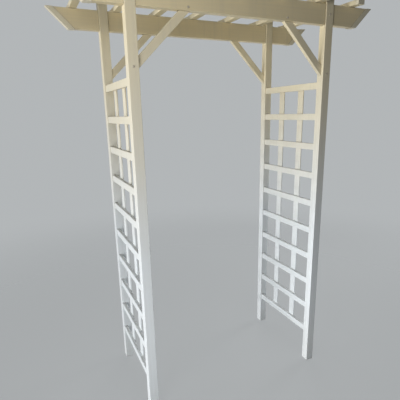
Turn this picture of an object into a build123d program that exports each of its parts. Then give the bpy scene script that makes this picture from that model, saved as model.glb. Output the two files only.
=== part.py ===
"""Garden arbor of white vinyl profiles: posts, beams, top slats, braces and two side lattices.

Millimetres. X runs along the beams, Y from front to back and Z up. The feet stand on Z = 0.
"""
import math
import os

from build123d import *

# Posts: square tubes on a rectangle, spaced centre to centre, that rise past the beams.
post_side = 50.8
post_wall = 2.5
post_height = 2312.0
post_rise = 74.0
post_pitch_x = 1120.0
post_pitch_y = 600.0

# Post caps: a skirt round the top of the post under a low pyramid.
post_cap_wall = 2.5
post_cap_skirt = 20.0
post_cap_plate = 4.0
post_cap_rise = 14.0
post_cap_top_share = 0.2

# Beams: tubes on edge through the posts, mitred so that the upper side is the longer one.
beam_height = 105.0
beam_thickness = 40.0
beam_wall = 2.5
beam_overhang = 275.0
beam_mitre_deg = 45.0

# Beam end caps: a plate over the mitre with a lip round the beam.
beam_cap_plate = 2.5
beam_cap_lip = 33.0
beam_cap_wall = 2.0

# Slats: flat tubes across both beams, an even row between the posts and one on each overhang.
slat_width = 41.0
slat_height = 26.0
slat_wall = 2.0
slat_pitch = 240.0
slat_overhang = 60.0
slat_post_gap = 25.0
slat_outer_share = 0.5

# Slat end caps: a plate with a lip round the slat.
slat_cap_plate = 2.5
slat_cap_lip = 18.0
slat_cap_wall = 1.6

# Braces: flat tubes at 45 degrees, let into the inner side of a post and the underside of its beam.
brace_width = 38.0
brace_thickness = 24.0
brace_wall = 2.0
brace_reach = 238.0
brace_insert = 35.0

# Lattices: level rails let into the posts, with flat uprights let into their right-hand faces.
rail_height = 38.0
rail_thickness = 19.0
rail_pitch = 177.0
rail_underside = 204.0
rail_headroom = 250.0
rail_recess = 5.0
rail_insert = 7.0
upright_width = 52.0
upright_thickness = 8.0
upright_lap = 2.0
upright_pitch = 201.0
upright_inset = 6.0

# Rounding of tubes, edge cut of caps and rails, play in a hole, and cutting excess.
edge_radius = 2.0
edge_cut = 1.2
clearance = 0.4
overrun = 5.0

half_post = post_side / 2
beam_top = post_height - post_rise
beam_middle = beam_top - beam_height / 2
beam_underside = beam_top - beam_height
beam_half_length = post_pitch_x / 2 + half_post + beam_overhang
slat_end = post_pitch_y / 2 + half_post + slat_overhang
mitre = math.radians(beam_mitre_deg)
side_x = {"left": -post_pitch_x / 2, "right": post_pitch_x / 2}
row_y = {"front": -post_pitch_y / 2, "back": post_pitch_y / 2}

# The rails climb at an even pitch as long as the headroom under the beams is kept.
rail_steps = math.floor((beam_underside - rail_headroom - rail_height - rail_underside) / rail_pitch)
rail_levels = [rail_underside + i * rail_pitch for i in range(rail_steps + 1)]

# As many slats lie between the posts as keep their gap to them, about the middle.
slat_steps = math.floor((post_pitch_x - post_side - slat_width - 2 * slat_post_gap) / slat_pitch)
slat_outer_x = post_pitch_x / 2 + half_post + beam_overhang * slat_outer_share
slat_inner_xs = [(i - slat_steps / 2) * slat_pitch for i in range(slat_steps + 1)]
slat_xs = [-slat_outer_x, *slat_inner_xs, slat_outer_x]


def save(name, shape):
    solid = shape.solid()
    solid.label = name
    export_step(solid, f"parts/{name}.step")


def to_side(shape, side):
    """A left-hand shape as it is, or mirrored for the right."""
    return shape if side == "left" else mirror(shape, Plane.YZ)


def tube(width, depth, wall):
    """Section of a hollow profile, rounded outside and square inside."""
    return RectangleRounded(width, depth, edge_radius) - Rectangle(width - 2 * wall, depth - 2 * wall)


def grown(width, depth, margin):
    """Rectangle with a margin on every side."""
    return Rectangle(width + 2 * margin, depth + 2 * margin)


def sleeve(width, depth, wall):
    """Outer section of a cap or bar, with its corners cut off at 45 degrees."""
    return chamfer(grown(width, depth, wall).vertices(), edge_cut)


def run_x(section, y, z):
    """Section run along a whole beam and past it, with its width on Y and its depth on Z."""
    reach = beam_half_length + beam_height
    start = Plane((-reach, y, z), x_dir=(0, 1, 0), z_dir=(1, 0, 0))
    return extrude(start * section, amount=2 * reach)


def run_y(section, x, z, start, end):
    """Section run from start to end along Y, with its width on X and its depth on Z."""
    return extrude(Plane((x, start, z), x_dir=(-1, 0, 0), z_dir=(0, 1, 0)) * section, amount=end - start)


def run_z(section, x, y, start, end):
    """Section run upright from start to end."""
    return extrude(Pos(x, y, start) * section, amount=end - start)


def mitre_plane(out=0):
    """Plane of the mitre at the left-hand end of a beam, moved out from it and facing the beam."""
    facing = (math.sin(mitre), 0, math.cos(mitre))
    return Plane((-beam_half_length, 0, beam_top), z_dir=facing).offset(-out)


def beam_run(section, y):
    """Section run along a beam and cut at both mitres."""
    bar = split(run_x(section, y, beam_middle), mitre_plane(), keep=Keep.TOP)
    return split(mirror(bar, Plane.YZ), mitre_plane(), keep=Keep.TOP)


def brace_run(section, y):
    """Section run along the left-hand brace of a row, cut upright in the post and level in the beam."""
    foot = Vector(side_x["left"] + half_post,
                  y + beam_thickness / 2 - beam_wall - 2 * clearance - brace_thickness / 2,
                  beam_underside - brace_reach)
    spare = brace_insert + brace_width
    start = Plane(foot - Vector(spare, 0, spare), x_dir=(0, 1, 0), z_dir=(1, 0, 1))
    bar = extrude(start * section, amount=(brace_reach + 2 * spare) * math.sqrt(2))
    bar = split(bar, Plane(foot - Vector(brace_insert, 0, 0), z_dir=(1, 0, 0)), keep=Keep.TOP)
    return split(bar, Plane((0, 0, beam_underside + brace_insert), z_dir=(0, 0, -1)), keep=Keep.TOP)


def brace(y):
    return brace_run(tube(brace_thickness, brace_width, brace_wall), y)


def brace_hole(y):
    return brace_run(grown(brace_thickness, brace_width, clearance), y)


def rail_middle(x):
    """Place on X of the rails between the posts at x."""
    return x - half_post + rail_recess + rail_thickness / 2


def post(side, row):
    """Square tube with a slot for the beam, a hole for the brace and, to the inside, one for each rail."""
    x, y = side_x[side], row_y[row]
    slot = Rectangle(beam_thickness + 2 * clearance, beam_height + clearance)
    body = run_z(tube(post_side, post_side, post_wall), x, y, 0, post_height)
    body -= run_x(slot, y, beam_middle + clearance / 2)
    body -= to_side(brace_hole(y), side)
    rail_hole = grown(rail_thickness, rail_height, clearance)
    wall = sorted((y, y - math.copysign(half_post + overrun, y)))
    return body - [run_y(rail_hole, rail_middle(x), level + rail_height / 2 + clearance, *wall)
                   for level in rail_levels]


def post_cap(x, y):
    side = post_side + 2 * post_cap_wall
    slope = math.atan(side * (1 - post_cap_top_share) / 2 / post_cap_rise)
    rim = post_height + post_cap_plate
    skirt = run_z(Rectangle(side, side), x, y, post_height - post_cap_skirt, rim)
    roof = extrude(Pos(x, y, rim) * Rectangle(side, side), amount=post_cap_rise, taper=math.degrees(slope))
    return skirt - run_z(Rectangle(post_side, post_side), x, y, 0, post_height) + roof


def beam(y):
    """Tube through both posts of a row, pierced from below for the two braces."""
    body = beam_run(tube(beam_thickness, beam_height, beam_wall), y)
    return body - [to_side(brace_hole(y), side) for side in side_x]


def beam_cap(y):
    """Cap on the left-hand end of a beam."""
    cap = run_x(sleeve(beam_thickness, beam_height, beam_cap_wall), y, beam_middle)
    cap = split(cap, mitre_plane(beam_cap_plate), keep=Keep.TOP)
    cap = split(cap, mitre_plane(-beam_cap_lip * math.sin(mitre)), keep=Keep.BOTTOM)
    cap = chamfer(cap.faces().sort_by(Axis.X)[0].edges(), edge_cut)
    return cap - beam_run(Rectangle(beam_thickness, beam_height), y)


def slat_run(section, x, start, end):
    return run_y(section, x, beam_top + slat_height / 2, start, end)


def slat(x):
    return slat_run(tube(slat_width, slat_height, slat_wall), x, -slat_end, slat_end)


def slat_cap(x):
    """Cap on the back end of a slat."""
    outer = sleeve(slat_width, slat_height, slat_cap_wall)
    cap = slat_run(outer, x, slat_end - slat_cap_lip, slat_end + slat_cap_plate)
    cap = chamfer(cap.faces().sort_by(Axis.Y)[-1].edges(), edge_cut)
    return cap - slat_run(Rectangle(slat_width, slat_height), x, -slat_end, slat_end)


def lattice(x):
    """Rails and uprights of one side, joined where they cross."""
    rail = sleeve(rail_thickness, rail_height, 0)
    rail_end = post_pitch_y / 2 - half_post + rail_insert
    middles = [level + rail_height / 2 for level in rail_levels]
    rails = [run_y(rail, rail_middle(x), middle, -rail_end, rail_end) for middle in middles]
    upright = sleeve(upright_thickness, upright_width, 0)
    upright_x = rail_middle(x) + (rail_thickness + upright_thickness) / 2 - upright_lap
    ends = rail_levels[0] + upright_inset, rail_levels[-1] + rail_height - upright_inset
    uprights = [run_z(upright, upright_x, share * upright_pitch, *ends) for share in (-0.5, 0.5)]
    return rails[0].fuse(*rails[1:], *uprights)


os.makedirs("parts", exist_ok=True)

for row, y in row_y.items():
    for side, x in side_x.items():
        save(f"{row}_{side}_post", post(side, row))
        save(f"{row}_{side}_post_cap", post_cap(x, y))
        save(f"{row}_{side}_brace", to_side(brace(y), side))
        save(f"{row}_beam_{side}_cap", to_side(beam_cap(y), side))
    save(f"{row}_beam", beam(y))

for number, x in enumerate(slat_xs, start=1):
    save(f"slat_{number}", slat(x))
    save(f"slat_{number}_back_cap", slat_cap(x))
    save(f"slat_{number}_front_cap", mirror(slat_cap(x), Plane.XZ))

for side, x in side_x.items():
    save(f"{side}_lattice", lattice(x))
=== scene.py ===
"""Looks of the white vinyl garden arbor: satin extrusions, moulded caps and screws in a pale studio."""

import math

import bmesh
import bpy
from mathutils import Euler, Matrix, Vector


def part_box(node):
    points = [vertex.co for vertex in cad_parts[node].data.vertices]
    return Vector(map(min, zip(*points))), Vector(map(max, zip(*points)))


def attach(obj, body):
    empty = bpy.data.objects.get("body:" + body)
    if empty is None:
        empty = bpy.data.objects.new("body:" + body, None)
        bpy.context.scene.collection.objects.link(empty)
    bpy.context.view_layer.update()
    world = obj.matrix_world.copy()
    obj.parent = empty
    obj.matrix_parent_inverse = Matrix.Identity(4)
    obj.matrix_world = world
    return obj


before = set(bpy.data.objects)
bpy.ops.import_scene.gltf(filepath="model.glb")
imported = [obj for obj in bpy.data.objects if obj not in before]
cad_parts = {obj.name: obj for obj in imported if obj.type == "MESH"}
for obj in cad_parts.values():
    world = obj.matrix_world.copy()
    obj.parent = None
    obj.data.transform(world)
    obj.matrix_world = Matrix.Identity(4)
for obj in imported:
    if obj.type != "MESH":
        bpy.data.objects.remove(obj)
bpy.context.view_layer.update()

# Camera: place in metres and turn in degrees, with the shift that the photograph's framing needs.
CAMERA_PLACE = (-1.0487, -2.1861, 1.6604)
CAMERA_TURN = (74.646, 0.811, -25.222)
CAMERA_LENS = 34.926
CAMERA_SENSOR = 36.0
CAMERA_SHIFT = (-0.02856, 0.05325)

# Vinyl: clean cool white below, sun-yellowed cream towards the top, with dust and grime in the joints.
# The height gradient also paints cool light low down and warm light high up, and the joint grime also
# paints shade.
CLEAN_WHITE = (0.79, 0.835, 0.86, 1.0)
SUN_AND_WARM_LIGHT_CREAM = (0.87, 0.775, 0.54, 1.0)
# The beams' own browner cream also paints the warm shade that falls on them.
BEAM_CREAM = (0.88, 0.755, 0.48, 1.0)
SLAT_CREAM = (0.88, 0.78, 0.53, 1.0)
CAP_CREAM = (0.87, 0.80, 0.60, 1.0)
DUST_GREY = (0.50, 0.47, 0.41, 1.0)
# Painted shade with grime: joints, steps and recesses darken towards this brown.
SHADE_GRIME_BROWN = (0.24, 0.20, 0.14, 1.0)
CLEAN_BELOW = 0.80
CREAM_ABOVE = 2.15
VINYL_IOR = 1.53
CHALKED_GLOSS = 0.36
BUMP_STRENGTH = 0.4

# Soiling: the share of each kind that shows, and the height up to which the ground splashes.
STREAK_SHARE = 0.09
PATCH_SHARE = 0.22
DUST_SHARE = 0.30
RUN_SHARE = 0.15
SPLASH_SHARE = 0.22
SPLASH_HEIGHT = 0.22
DUST_DULLS = 0.5

# Patterns in cycles per metre. Die lines are fine across a profile and long along it.
FINE = 320.0
LONG = 2.5
MOULDED = 420.0
PATCHES = 2.6
CLOUDS = 9.0
SPECKS = 38.0
RAGGED = 120.0
TARNISH = 420.0
RUNS_DOWN = (60.0, 60.0, 1.6)
BRACE_TURN = math.radians(45.0)

# Zinc plating, from its tarnished tone to its clean one.
ZINC_TARNISHED = (0.66, 0.55, 0.42, 1.0)
ZINC_CLEAN = (0.90, 0.83, 0.72, 1.0)

# Screw heads: pan heads with a cross recess, as (share of the radius, share of the height) down the rim.
SCREW_RADIUS = 0.0048
SCREW_HEIGHT = 0.0026
SCREW_SIDES = 24
PAN_RIM = ((0.72, 1.0), (0.9, 0.82), (0.98, 0.5), (1.0, 0.0))
RECESS_REACH = 0.0026
RECESS_HALF = 0.0006
RECESS_TAPER = 0.0002
RECESS_DEPTH = 0.0015

# Screw places: on the middle of the post at the beam and at the brace's foot, and low on the beam over
# the brace's top.
BRACE_REACH = 0.238
BRACE_TOP_RISE = 0.015
BRACE_FOOT_RISE = 0.008

# Studio: the floor fades into the background between two radii, and a share of it shows evenly lit.
FLOOR_RADIUS = 12.0
FLOOR_SIDES = 96
FLOOR_FADE = (1.2, 5.0)
FLOOR_EVEN_SHARE = 0.75
FLOOR_ROUGHNESS = 0.9
FLOOR_COLOR = (0.42, 0.435, 0.44, 1.0)
PALE = (0.45, 0.47, 0.48, 1.0)
AMBIENT = 0.02

# Soft boxes: place, target, width and height in metres, watts, spread in degrees, and whether it mirrors.
SOFT_BOXES = {
    "left_sky": ((-12.0, 0.5, 0.9), (0.0, 0.0, 1.2), (4.0, 1.6), 640.0, 180.0, False),
    "left_ground": ((-9.8, -2.0, 0.4), (0.0, 0.0, 0.3), (3.0, 0.6), 180.0, 180.0, True),
    "near_left": ((-1.75, -1.45, 1.05), (0.0, 0.0, 1.05), (0.7, 1.6), 6.8, 130.0, False),
    "near_low": ((-1.6, -1.75, 0.55), (-0.4, -0.1, 0.45), (0.6, 0.6), 3.5, 100.0, True),
    "near_top": ((-0.95, -1.35, 2.18), (-0.1, -0.25, 2.08), (0.7, 0.22), 4.8, 180.0, True),
    "passage_low": ((-0.47, -0.7, 0.45), (0.53, -0.64, 0.45), (0.5, 0.6), 0.9, 100.0, True),
    "passage_mid": ((-0.45, -0.2, 0.85), (0.55, -0.15, 0.85), (0.4, 1.4), 0.5, 100.0, True),
    "back_fill": ((1.9, 3.7, 1.7), (0.0, 0.0, 1.4), (2.0, 1.2), 26.0, 110.0, False),
    "right_fill": ((4.6, 1.35, 1.4), (0.0, 0.2, 1.2), (1.3, 1.6), 34.0, 80.0, False),
    "overhead": ((0.0, 0.7, 10.0), (0.0, 0.0, 0.0), (2.0, 2.0), 150.0, 180.0, False),
}

FLOAT, COLOR, VECTOR = "NodeSocketFloat", "NodeSocketColor", "NodeSocketVector"


def link(tree, source, target):
    tree.links.new(source, target)


def new_node(tree, kind, **values):
    """Add a node and set its sockets or properties by name."""
    node = tree.nodes.new(kind)
    for name, value in values.items():
        label = name.replace("_", " ")
        if label in node.inputs:
            node.inputs[label].default_value = value
        else:
            setattr(node, name, value)
    return node


def math_node(tree, operation, first, second, clamp=False):
    """Math node on two sockets or numbers, as its output."""
    node = new_node(tree, "ShaderNodeMath", operation=operation, use_clamp=clamp)
    for socket, value in zip(node.inputs, (first, second)):
        if isinstance(value, float):
            socket.default_value = value
        else:
            link(tree, value, socket)
    return node.outputs[0]


def map_range(tree, value, start, end, low=0.0, high=1.0, smooth=False):
    """Value brought from start and end to low and high, as an output."""
    node = new_node(tree, "ShaderNodeMapRange", interpolation_type="SMOOTHSTEP" if smooth else "LINEAR")
    link(tree, value, node.inputs["Value"])
    for name, given in (("From Min", start), ("From Max", end), ("To Min", low), ("To Max", high)):
        if isinstance(given, float):
            node.inputs[name].default_value = given
        else:
            link(tree, given, node.inputs[name])
    return node.outputs[0]


def mix_color(tree, factor, first, second):
    """Colour between two colours or colour sockets, as an output."""
    node = new_node(tree, "ShaderNodeMix", data_type="RGBA")
    link(tree, factor, node.inputs["Factor"])
    for index, given in ((6, first), (7, second)):
        if isinstance(given, tuple):
            node.inputs[index].default_value = given
        else:
            link(tree, given, node.inputs[index])
    return node.outputs[2]


def noise(tree, place, scale, detail):
    node = new_node(tree, "ShaderNodeTexNoise", Scale=scale, Detail=detail)
    link(tree, place, node.inputs["Vector"])
    return node.outputs[0]


def stretched(tree, place, factors):
    """Place with each axis scaled, for a pattern drawn out along one of them."""
    node = new_node(tree, "ShaderNodeVectorMath", operation="MULTIPLY")
    link(tree, place, node.inputs[0])
    if isinstance(factors, tuple):
        node.inputs[1].default_value = factors
    else:
        link(tree, factors, node.inputs[1])
    return node.outputs[0]


def start_group(name, inputs, outputs):
    """Shader group with (name, socket type, default) inputs and (name, socket type) outputs."""
    group = bpy.data.node_groups.new(name, "ShaderNodeTree")
    for label, kind, default in inputs:
        socket = group.interface.new_socket(label, in_out="INPUT", socket_type=kind)
        socket.default_value = default
    for label, kind in outputs:
        group.interface.new_socket(label, in_out="OUTPUT", socket_type=kind)
    given, result = group.nodes.new("NodeGroupInput"), group.nodes.new("NodeGroupOutput")
    place = group.nodes.new("ShaderNodeTexCoord")
    return group, given.outputs, result.inputs, place.outputs


def yellowing_and_warm_light_group():
    """Colour that goes from clean to aged with height, broken up by broad cloudy patches; the climb is
    sun yellowing and also painted light, cool low down and warm high up.
    """
    group, given, result, place = start_group(
        "yellowing_and_warm_light",
        [("Clean", COLOR, CLEAN_WHITE), ("Aged", COLOR, SUN_AND_WARM_LIGHT_CREAM), ("Low", FLOAT, CLEAN_BELOW),
         ("High", FLOAT, CREAM_ABOVE), ("Patch Amount", FLOAT, PATCH_SHARE)],
        [("Color", COLOR)])
    axes = new_node(group, "ShaderNodeSeparateXYZ")
    link(group, place["Object"], axes.inputs[0])
    # Painted light: the colour's climb with height paints warm light at the top and cool light below,
    # together with sun yellowing.
    climb = map_range(group, axes.outputs["Z"], given["Low"], given["High"], smooth=True)
    cloud = math_node(group, "SUBTRACT", noise(group, place["Object"], PATCHES, 3.0), 0.5)
    patches = math_node(group, "MULTIPLY", cloud, given["Patch Amount"])
    aged = math_node(group, "ADD", climb, patches, clamp=True)
    link(group, mix_color(group, aged, given["Clean"], given["Aged"]), result["Color"])
    return group


def extrusion_grain_group():
    """Die lines along a profile: a height for the bump, a sheen that clouds the gloss, and streaks."""
    group, given, result, place = start_group(
        "extrusion_grain",
        [("Turn", VECTOR, (0.0, 0.0, 0.0)), ("Stretch", VECTOR, (FINE, FINE, LONG))],
        [("Height", FLOAT), ("Sheen", FLOAT), ("Streaks", FLOAT)])
    turn = new_node(group, "ShaderNodeMapping", vector_type="TEXTURE")
    link(group, place["Object"], turn.inputs["Vector"])
    link(group, given["Turn"], turn.inputs["Rotation"])
    along = stretched(group, turn.outputs[0], given["Stretch"])
    lines = noise(group, along, 1.0, 2.0)
    broad = noise(group, along, 0.28, 2.0)
    cloud = noise(group, place["Object"], CLOUDS, 3.0)
    swell = math_node(group, "MULTIPLY", broad, 0.8)
    fine_sheen = math_node(group, "MULTIPLY", lines, 0.45)
    cloudy_sheen = math_node(group, "MULTIPLY", cloud, 0.55)
    link(group, math_node(group, "ADD", lines, swell), result["Height"])
    link(group, math_node(group, "ADD", fine_sheen, cloudy_sheen), result["Sheen"])
    link(group, map_range(group, broad, 0.35, 0.7), result["Streaks"])
    return group


def settled_dust_group():
    """Mask of dust on faces that look up, of faint rain runs and of splashes near the ground."""
    group, given, result, place = start_group(
        "settled_dust",
        [("Upward", FLOAT, DUST_SHARE), ("Runs", FLOAT, RUN_SHARE), ("Splash", FLOAT, SPLASH_SHARE)],
        [("Mask", FLOAT)])
    facing = new_node(group, "ShaderNodeSeparateXYZ")
    axes = new_node(group, "ShaderNodeSeparateXYZ")
    link(group, place["Normal"], facing.inputs[0])
    link(group, place["Object"], axes.inputs[0])
    speck = map_range(group, noise(group, place["Object"], SPECKS, 5.0), 0.3, 0.7)
    looks_up = map_range(group, facing.outputs["Z"], 0.5, 1.0)
    drip = noise(group, stretched(group, place["Object"], RUNS_DOWN), 1.0, 4.0)
    near_ground = map_range(group, axes.outputs["Z"], SPLASH_HEIGHT, 0.0, smooth=True)
    runs = math_node(group, "MULTIPLY", map_range(group, drip, 0.52, 0.78), given["Runs"])
    settled = math_node(group, "MULTIPLY", looks_up, given["Upward"])
    splashed = math_node(group, "MULTIPLY", near_ground, given["Splash"])
    specked = math_node(group, "MULTIPLY", math_node(group, "ADD", settled, splashed), speck)
    link(group, math_node(group, "ADD", specked, runs, clamp=True), result["Mask"])
    return group


def joint_shade_grime_group():
    """Mask of painted shade and grime where two pieces meet, in steps and in recesses, from ambient
    occlusion, thinned out by a ragged pattern.
    """
    group, given, result, place = start_group(
        "joint_shade_grime", [("Reach", FLOAT, 0.005), ("Amount", FLOAT, 0.5)], [("Mask", FLOAT)])
    closeness = new_node(group, "ShaderNodeAmbientOcclusion", samples=8)
    link(group, given["Reach"], closeness.inputs["Distance"])
    ragged = map_range(group, noise(group, place["Object"], RAGGED, 3.0), 0.2, 0.7, 0.4, 1.0)
    shut = map_range(group, closeness.outputs["AO"], 0.98, 0.7)
    thinned = math_node(group, "MULTIPLY", shut, ragged)
    link(group, math_node(group, "MULTIPLY", thinned, given["Amount"]), result["Mask"])
    return group


yellowing_and_warm_light = yellowing_and_warm_light_group()
extrusion_grain = extrusion_grain_group()
settled_dust = settled_dust_group()
joint_shade_grime = joint_shade_grime_group()


def start_material(name):
    material = bpy.data.materials.new(name)
    material.use_nodes = True
    tree = material.node_tree
    return material, tree, tree.nodes["Principled BSDF"]


def place_group(tree, group, **values):
    node = tree.nodes.new("ShaderNodeGroup")
    node.node_tree = group
    for name, value in values.items():
        node.inputs[name.replace("_", " ")].default_value = value
    return node.outputs


def vinyl(name, stretch, turn=(0.0, 0.0, 0.0), rough=(0.30, 0.46), depth=0.00015, upward=DUST_SHARE,
          aged=SUN_AND_WARM_LIGHT_CREAM, shade_grime_amount=0.45):
    """Satin extruded vinyl with its die lines along one direction."""
    material, tree, shader = start_material(name)
    colour = place_group(tree, yellowing_and_warm_light, Aged=aged)
    grain = place_group(tree, extrusion_grain, Turn=turn, Stretch=stretch)
    dust = place_group(tree, settled_dust, Upward=upward)
    shade_and_grime = place_group(tree, joint_shade_grime, Amount=shade_grime_amount)
    faint = math_node(tree, "MULTIPLY", grain["Streaks"], STREAK_SHARE)
    streaked = mix_color(tree, faint, colour["Color"], DUST_GREY)
    dusty = mix_color(tree, dust["Mask"], streaked, DUST_GREY)
    # Painted shade with grime: where pieces meet, the colour darkens towards brown.
    soiled = mix_color(tree, shade_and_grime["Mask"], dusty, SHADE_GRIME_BROWN)
    gloss = map_range(tree, grain["Sheen"], 0.3, 0.7, rough[0], rough[1])
    dulled = math_node(tree, "MULTIPLY_ADD", dust["Mask"], DUST_DULLS)
    link(tree, gloss, dulled.node.inputs[2])
    bump = new_node(tree, "ShaderNodeBump", Strength=BUMP_STRENGTH, Distance=depth)
    link(tree, soiled, shader.inputs["Base Color"])
    link(tree, dulled, shader.inputs["Roughness"])
    link(tree, grain["Height"], bump.inputs["Height"])
    link(tree, bump.outputs[0], shader.inputs["Normal"])
    shader.inputs["IOR"].default_value = VINYL_IOR
    shader.inputs["Specular IOR Level"].default_value = CHALKED_GLOSS
    return material


def zinc():
    """Zinc plating with cloudy tarnish, and painted shade with dirt in the recess and round the head."""
    material, tree, shader = start_material("screw_zinc")
    place = new_node(tree, "ShaderNodeTexCoord").outputs["Object"]
    cloud = noise(tree, place, TARNISH, 4.0)
    # Painted shade with dirt: the recess and the rim of the head darken towards brown.
    shade_and_grime = place_group(tree, joint_shade_grime, Reach=0.003, Amount=0.75)
    tone = mix_color(tree, cloud, ZINC_TARNISHED, ZINC_CLEAN)
    link(tree, mix_color(tree, shade_and_grime["Mask"], tone, SHADE_GRIME_BROWN), shader.inputs["Base Color"])
    link(tree, map_range(tree, cloud, 0.3, 0.7, 0.42, 0.24), shader.inputs["Roughness"])
    shader.inputs["Metallic"].default_value = 1.0
    return material


post_vinyl = vinyl("post_vinyl", (FINE, FINE, LONG))
# The beams' stronger grime mask also paints the shade lines at the cap lips and joints.
beam_vinyl = vinyl("beam_vinyl", (LONG, FINE, FINE), aged=BEAM_CREAM, shade_grime_amount=0.9)
slat_vinyl = vinyl("slat_vinyl", (FINE, LONG, FINE), aged=SLAT_CREAM)
rail_vinyl = vinyl("rail_vinyl", (FINE, LONG, FINE), upward=0.35)
left_brace_vinyl = vinyl("left_brace_vinyl", (FINE, FINE, LONG), turn=(0.0, BRACE_TURN, 0.0))
right_brace_vinyl = vinyl("right_brace_vinyl", (FINE, FINE, LONG), turn=(0.0, -BRACE_TURN, 0.0))
cap_vinyl = vinyl("cap_vinyl", (MOULDED, MOULDED, MOULDED), rough=(0.34, 0.5), depth=0.0001,
                  aged=CAP_CREAM)
screw_zinc = zinc()

# The first ending that fits a node's name gives its finish.
FINISHES = (("_cap", cap_vinyl), ("_post", post_vinyl), ("_beam", beam_vinyl), ("_lattice", rail_vinyl),
            ("left_brace", left_brace_vinyl), ("right_brace", right_brace_vinyl), ("", slat_vinyl))

for node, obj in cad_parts.items():
    obj.data.materials.clear()
    obj.data.materials.append(next(finish for ending, finish in FINISHES if node.endswith(ending)))


def new_object(name, shape, material):
    """Object of a finished bmesh, at the origin."""
    mesh = bpy.data.meshes.new(name)
    shape.to_mesh(mesh)
    shape.free()
    mesh.materials.append(material)
    obj = bpy.data.objects.new(name, mesh)
    bpy.context.scene.collection.objects.link(obj)
    return obj


def screw(name, place, quarter_turn):
    """Pan head with a tapered cross recess, tipped to the front by 90 degrees or to the back by -90."""
    head = bmesh.new()
    bmesh.ops.create_grid(head, x_segments=3, y_segments=3, size=RECESS_REACH)
    # The grid's inner lines start at a third of its reach, and close in to the width of the recess.
    narrowing = 3 * RECESS_HALF / RECESS_REACH
    inner = [v for v in head.verts if abs(v.co.x) < RECESS_REACH / 2]
    bmesh.ops.scale(head, verts=inner, vec=(narrowing, 1.0, 1.0))
    inner = [v for v in head.verts if abs(v.co.y) < RECESS_REACH / 2]
    bmesh.ops.scale(head, verts=inner, vec=(1.0, narrowing, 1.0))
    cross = [f for f in head.faces if min(abs(c) for c in f.calc_center_median().xy) < RECESS_HALF]
    square = [e for e in head.edges if e.is_boundary]
    top_radius = SCREW_RADIUS * PAN_RIM[0][0]
    rim = bmesh.ops.create_circle(head, segments=SCREW_SIDES, radius=top_radius)["verts"]
    ring = [e for e in head.edges if all(v in rim for v in e.verts)]
    bmesh.ops.bridge_loops(head, edges=square + ring)
    bmesh.ops.translate(head, verts=head.verts, vec=(0.0, 0.0, SCREW_HEIGHT))
    for (radius, level), (next_radius, next_level) in zip(PAN_RIM, PAN_RIM[1:]):
        down = bmesh.ops.extrude_edge_only(head, edges=ring)["geom"]
        verts = [g for g in down if isinstance(g, bmesh.types.BMVert)]
        ring = [g for g in down if isinstance(g, bmesh.types.BMEdge)]
        bmesh.ops.scale(head, verts=verts, vec=(next_radius / radius, next_radius / radius, 1.0))
        bmesh.ops.translate(head, verts=verts, vec=(0.0, 0.0, (next_level - level) * SCREW_HEIGHT))
    bmesh.ops.recalc_face_normals(head, faces=head.faces)
    bmesh.ops.inset_region(head, faces=cross, thickness=RECESS_TAPER, depth=-RECESS_DEPTH,
                           use_even_offset=True)
    tipped = Matrix.Translation(place) @ Matrix.Rotation(quarter_turn, 4, "X")
    bmesh.ops.transform(head, matrix=tipped, verts=head.verts)
    for face in head.faces:
        face.smooth = True
    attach(new_object(name, head, screw_zinc), "root")


# The screws are on the outer faces: the front row's look to the front and the back row's to the back.
for row, quarter_turn in (("front", math.radians(90.0)), ("back", math.radians(-90.0))):
    beam_low, beam_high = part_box(f"{row}_beam")
    beam_y = beam_low.y if row == "front" else beam_high.y
    for side, inward in (("left", 1.0), ("right", -1.0)):
        post_low, post_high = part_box(f"{row}_{side}_post")
        post_x = (post_low.x + post_high.x) / 2
        post_y = post_low.y if row == "front" else post_high.y
        half_post = (post_high.x - post_low.x) / 2
        foot_z = beam_low.z - BRACE_REACH - half_post + BRACE_FOOT_RISE
        top_x = post_x + inward * (half_post + BRACE_REACH + BRACE_TOP_RISE)
        beam_spot = Vector((post_x, post_y, (beam_low.z + beam_high.z) / 2))
        foot_spot = Vector((post_x, post_y, foot_z))
        top_spot = Vector((top_x, beam_y, beam_low.z + BRACE_TOP_RISE))
        screw(f"{row}_{side}_beam_screw", beam_spot, quarter_turn)
        screw(f"{row}_{side}_brace_foot_screw", foot_spot, quarter_turn)
        screw(f"{row}_{side}_brace_top_screw", top_spot, quarter_turn)


def seen_directly(tree):
    """One for rays of the camera, of reflections and through glass, as an output."""
    path = new_node(tree, "ShaderNodeLightPath").outputs
    mirrored = math_node(tree, "MAXIMUM", path["Is Glossy Ray"], path["Is Transmission Ray"])
    return math_node(tree, "MAXIMUM", path["Is Camera Ray"], mirrored)


def mix_shaders(tree, factor, first, second):
    node = new_node(tree, "ShaderNodeMixShader")
    link(tree, factor, node.inputs[0])
    link(tree, first, node.inputs[1])
    link(tree, second, node.inputs[2])
    return node.outputs[0]


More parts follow.
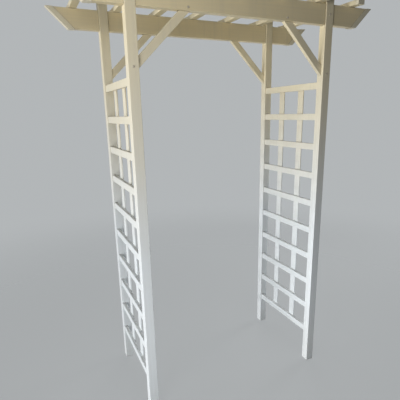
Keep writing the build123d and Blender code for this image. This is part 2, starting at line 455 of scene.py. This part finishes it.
def stage_floor():
    """Pale floor that keeps the arbor's shadow and fades into the background."""
    shape = bmesh.new()
    bmesh.ops.create_circle(shape, cap_ends=True, segments=FLOOR_SIDES, radius=FLOOR_RADIUS)
    material, tree, shader = start_material("floor_pale")
    shader.inputs["Base Color"].default_value = FLOOR_COLOR
    shader.inputs["Roughness"].default_value = FLOOR_ROUGHNESS
    even = new_node(tree, "ShaderNodeEmission", Color=PALE)
    share = math_node(tree, "MULTIPLY", seen_directly(tree), FLOOR_EVEN_SHARE)
    lit = mix_shaders(tree, share, shader.outputs[0], even.outputs[0])
    reach = new_node(tree, "ShaderNodeVectorMath", operation="LENGTH")
    link(tree, new_node(tree, "ShaderNodeTexCoord").outputs["Object"], reach.inputs[0])
    fade = map_range(tree, reach.outputs["Value"], *FLOOR_FADE, smooth=True)
    clear = new_node(tree, "ShaderNodeBsdfTransparent")
    faded = mix_shaders(tree, fade, lit, clear.outputs[0])
    link(tree, faded, tree.nodes["Material Output"].inputs["Surface"])
    new_object("floor", shape, material)


def studio_world():
    """Faint ambient light, with a pale background for what the camera and reflections see."""
    world = bpy.data.worlds.new("studio")
    bpy.context.scene.world = world
    world.use_nodes = True
    tree = world.node_tree
    ambient = tree.nodes["Background"]
    ambient.inputs["Color"].default_value = (1.0, 1.0, 1.0, 1.0)
    ambient.inputs["Strength"].default_value = AMBIENT
    seen = new_node(tree, "ShaderNodeBackground", Color=PALE, Strength=1.0)
    mixed = mix_shaders(tree, seen_directly(tree), ambient.outputs[0], seen.outputs[0])
    link(tree, mixed, tree.nodes["World Output"].inputs["Surface"])


def soft_box(name, place, target, size, power, spread, mirrored):
    """Area lamp that the camera doesn't see, and that reflections show only where it mirrors."""
    light = bpy.data.lights.new(name, "AREA")
    light.spread = math.radians(spread)
    light.shape = "RECTANGLE"
    light.size, light.size_y = size
    light.energy = power
    obj = bpy.data.objects.new(name, light)
    obj.location = place
    obj.rotation_euler = (Vector(target) - Vector(place)).to_track_quat("-Z", "Y").to_euler()
    obj.visible_camera = False
    obj.visible_glossy = mirrored
    bpy.context.scene.collection.objects.link(obj)


stage_floor()
studio_world()
for name, settings in SOFT_BOXES.items():
    soft_box(name, *settings)

camera_data = bpy.data.cameras.new("camera")
camera_data.lens = CAMERA_LENS
camera_data.sensor_width = CAMERA_SENSOR
camera_data.shift_x, camera_data.shift_y = CAMERA_SHIFT
camera = bpy.data.objects.new("camera", camera_data)
camera.location = CAMERA_PLACE
camera.rotation_euler = Euler([math.radians(angle) for angle in CAMERA_TURN], "XYZ")
bpy.context.scene.collection.objects.link(camera)
bpy.context.scene.camera = camera
bpy.context.scene.view_settings.view_transform = "Standard"
